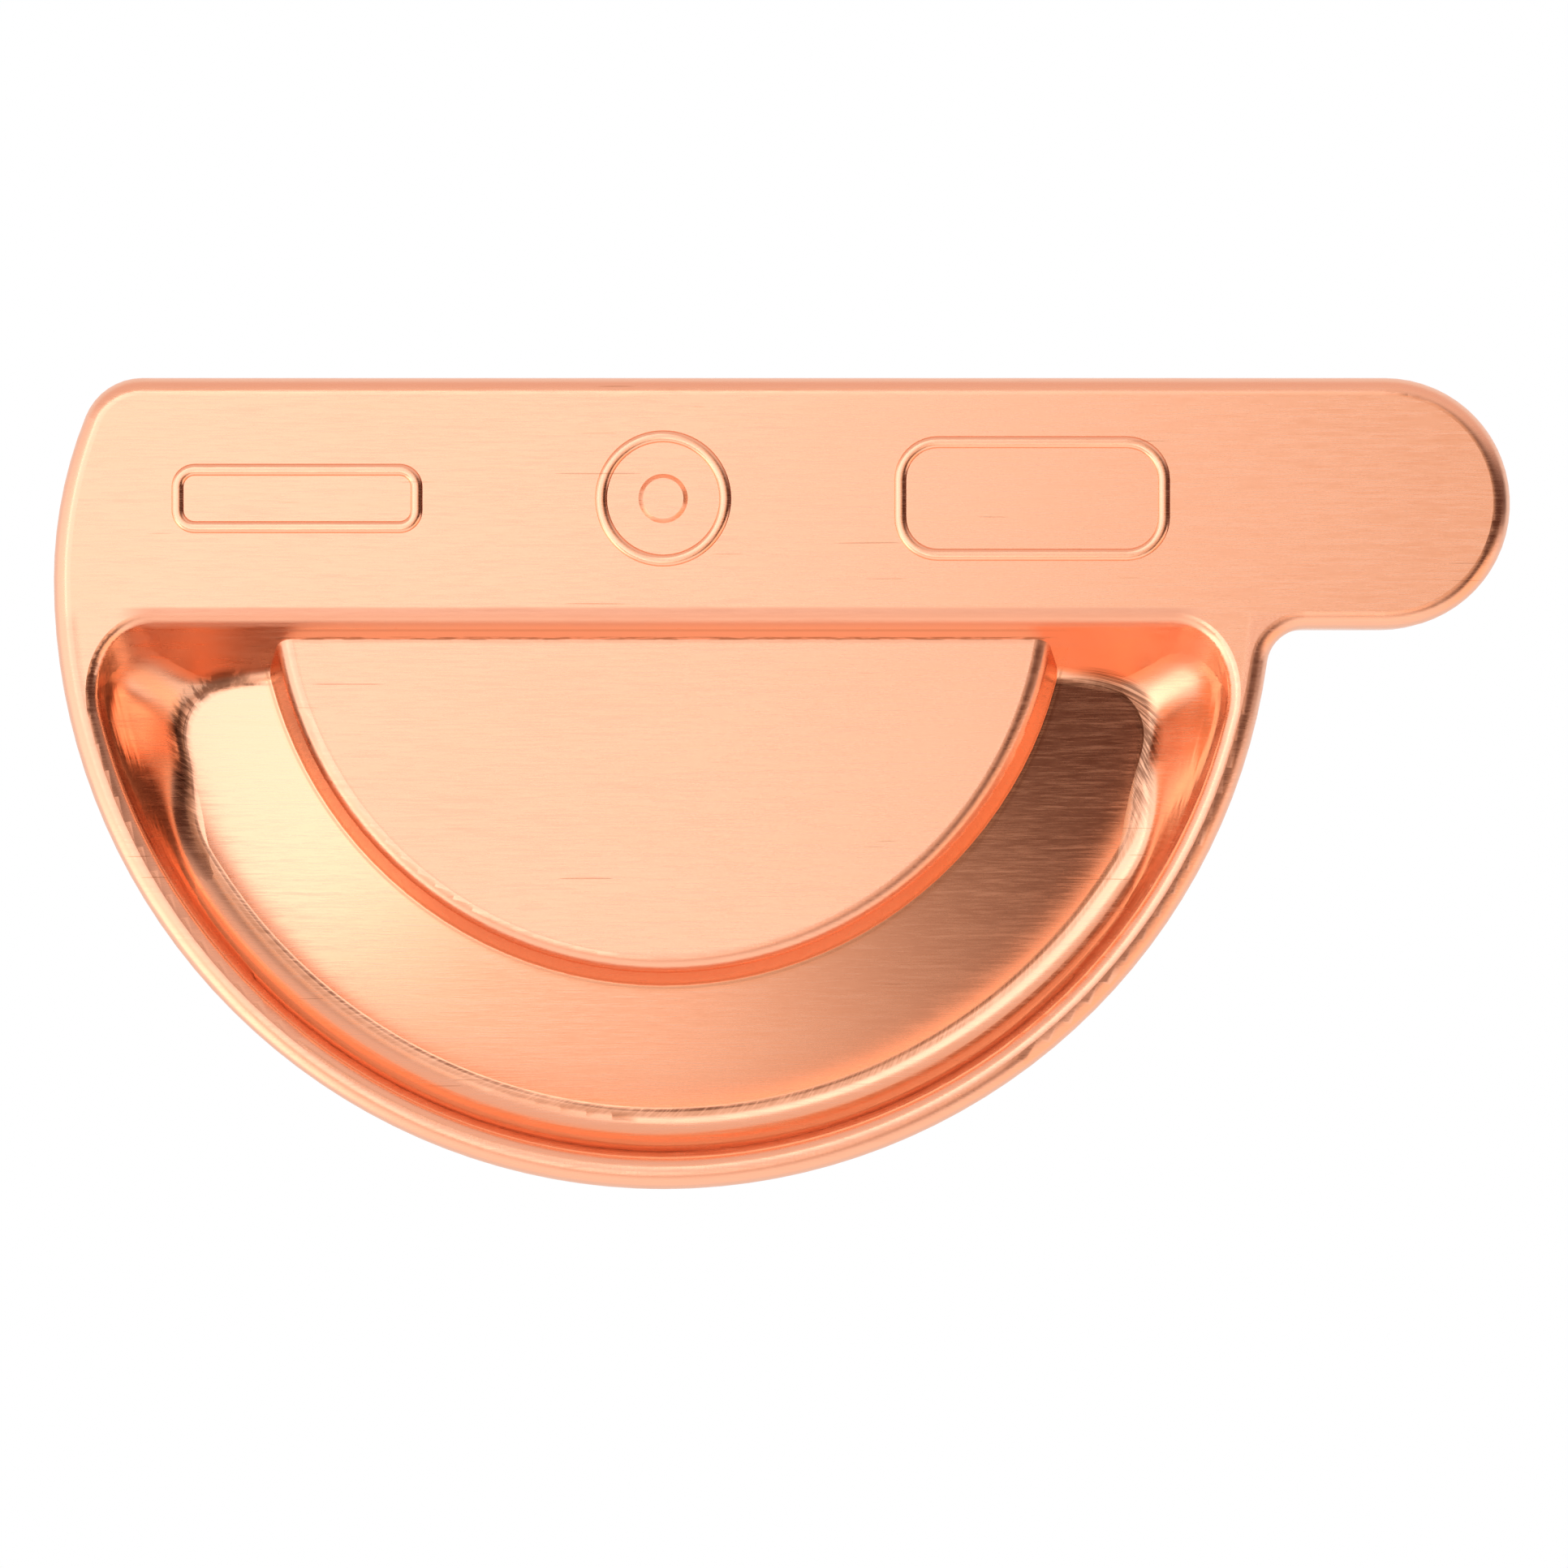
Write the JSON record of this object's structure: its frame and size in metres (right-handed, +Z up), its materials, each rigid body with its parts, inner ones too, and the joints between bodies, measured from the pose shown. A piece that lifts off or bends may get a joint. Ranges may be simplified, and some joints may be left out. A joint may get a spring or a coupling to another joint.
{
  "type": "gutter end cap",
  "caption": "Pressed copper end cap for a half-round gutter: flat band with a round bead lobe, turned-back flange, drawn crescent and raised half-moon panel.",
  "frame": {"origin": "on the gutter's half-round axis, at the back face of the band, where the gutter's cut end stops", "axes": "+X toward the gutter's front bead, +Y into the gutter, +Z up"},
  "size_m": [0.1003, 0.0093, 0.0559],
  "materials": {
    "copper": null
  },
  "bodies": {
    "root": {"end_cap": "copper"}
  },
  "joints": []
}
